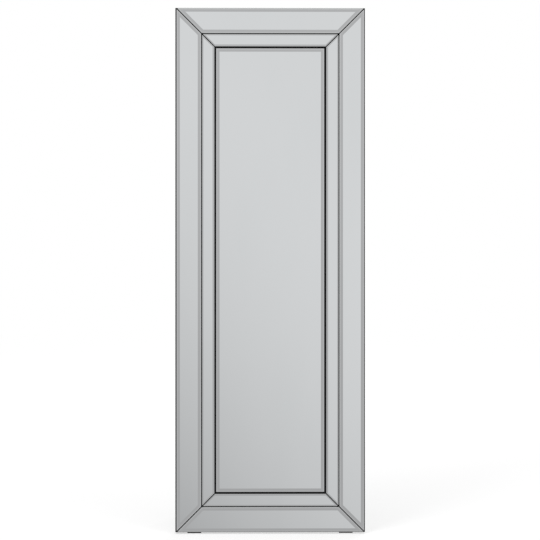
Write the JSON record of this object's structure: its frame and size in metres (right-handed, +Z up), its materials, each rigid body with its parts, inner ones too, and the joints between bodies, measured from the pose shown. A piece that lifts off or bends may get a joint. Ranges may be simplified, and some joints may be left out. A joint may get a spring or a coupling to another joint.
{
  "type": "cheval mirror",
  "caption": "Tall free-standing rectangular mirror framed in bevelled mirror-glass strips, leaning back on a hinged folding easel strut.",
  "frame": {"origin": "on the floor, under the centre of the bounding box, with the strut open", "axes": "+Z up from the floor; the mirror faces -Y and leans back towards +Y, where the strut stands; +X is to the right seen from the front"},
  "size_m": [0.55, 0.4088, 1.5015],
  "materials": {
    "mirror_glass": "polished silvered glass, bevelled edges",
    "black_board": "matt black painted board",
    "black_wood": "satin black stained wood",
    "foam_tape": "closed-cell foam tape",
    "zinc_steel": "bright zinc plate",
    "screw_steel": "bright zinc plate",
    "rubber": "matt black rubber",
    "felt": "dark grey felt"
  },
  "bodies": {
    "mirror": {"back_panel": "black_board", "bottom_foot_left": "rubber", "bottom_foot_right": "rubber", "centre_mirror": "mirror_glass", "centre_mirror_tape": "foam_tape", "frame_rail_bottom": "black_board", "frame_rail_left": "black_board", "frame_rail_right": "black_board", "frame_rail_top": "black_board", "hinge_frame_leaf_left": "zinc_steel", "hinge_frame_leaf_right": "zinc_steel", "hinge_frame_screws": "screw_steel", "hinge_pin_left": "zinc_steel", "hinge_pin_right": "zinc_steel", "inner_strip_bottom": "mirror_glass", "inner_strip_left": "mirror_glass", "inner_strip_right": "mirror_glass", "inner_strip_tape": "foam_tape", "inner_strip_top": "mirror_glass", "outer_strip_bottom": "mirror_glass", "outer_strip_left": "mirror_glass", "outer_strip_right": "mirror_glass", "outer_strip_tape": "foam_tape", "outer_strip_top": "mirror_glass", "panel_screws": "screw_steel", "stay_frame_bracket": "zinc_steel", "stay_frame_rivet": "zinc_steel", "stay_frame_screws": "screw_steel", "strut_rest_pads": "felt"},
    "strut": {"strut_stile_left": "black_wood", "strut_stile_right": "black_wood", "strut_top_rail": "black_wood", "strut_lower_rail": "black_wood", "strut_frame_screws": "screw_steel", "hinge_strut_leaf_left": "zinc_steel", "hinge_strut_leaf_right": "zinc_steel", "hinge_strut_screws": "screw_steel", "stay_strut_bracket": "zinc_steel", "stay_strut_screws": "screw_steel", "stay_strut_rivet_tail": "zinc_steel", "strut_foot_pad_left": "rubber", "strut_foot_pad_right": "rubber"},
    "stay_frame_arm": {"stay_frame_arm": "zinc_steel", "stay_knee_rivet": "zinc_steel", "stay_knee_washer": "zinc_steel"},
    "stay_strut_arm": {"stay_strut_arm": "zinc_steel", "stay_strut_rivet": "zinc_steel"}
  },
  "joints": [
    {"name": "strut_hinge", "type": "hinge", "parent": "mirror", "child": "strut", "pos_m": [0, 0.0247, 1.163], "axis": [1, 0, 0], "range_deg": [-18, 0]},
    {"name": "stay_frame_pivot", "type": "hinge", "parent": "mirror", "child": "stay_frame_arm", "pos_m": [0, -0.10075, 0.40832], "axis": [1, 0, 0], "range_deg": [0, 89.39]},
    {"name": "stay_knee", "type": "hinge", "parent": "stay_frame_arm", "child": "stay_strut_arm", "pos_m": [0, 0.0024, 0.39127], "axis": [1, 0, 0], "range_deg": [-180, 0]}
  ],
  "couplings": [
    {"joint": "stay_frame_pivot", "follows": "strut_hinge", "ratio": -4.9658},
    {"joint": "stay_knee", "follows": "strut_hinge", "ratio": 10}
  ]
}
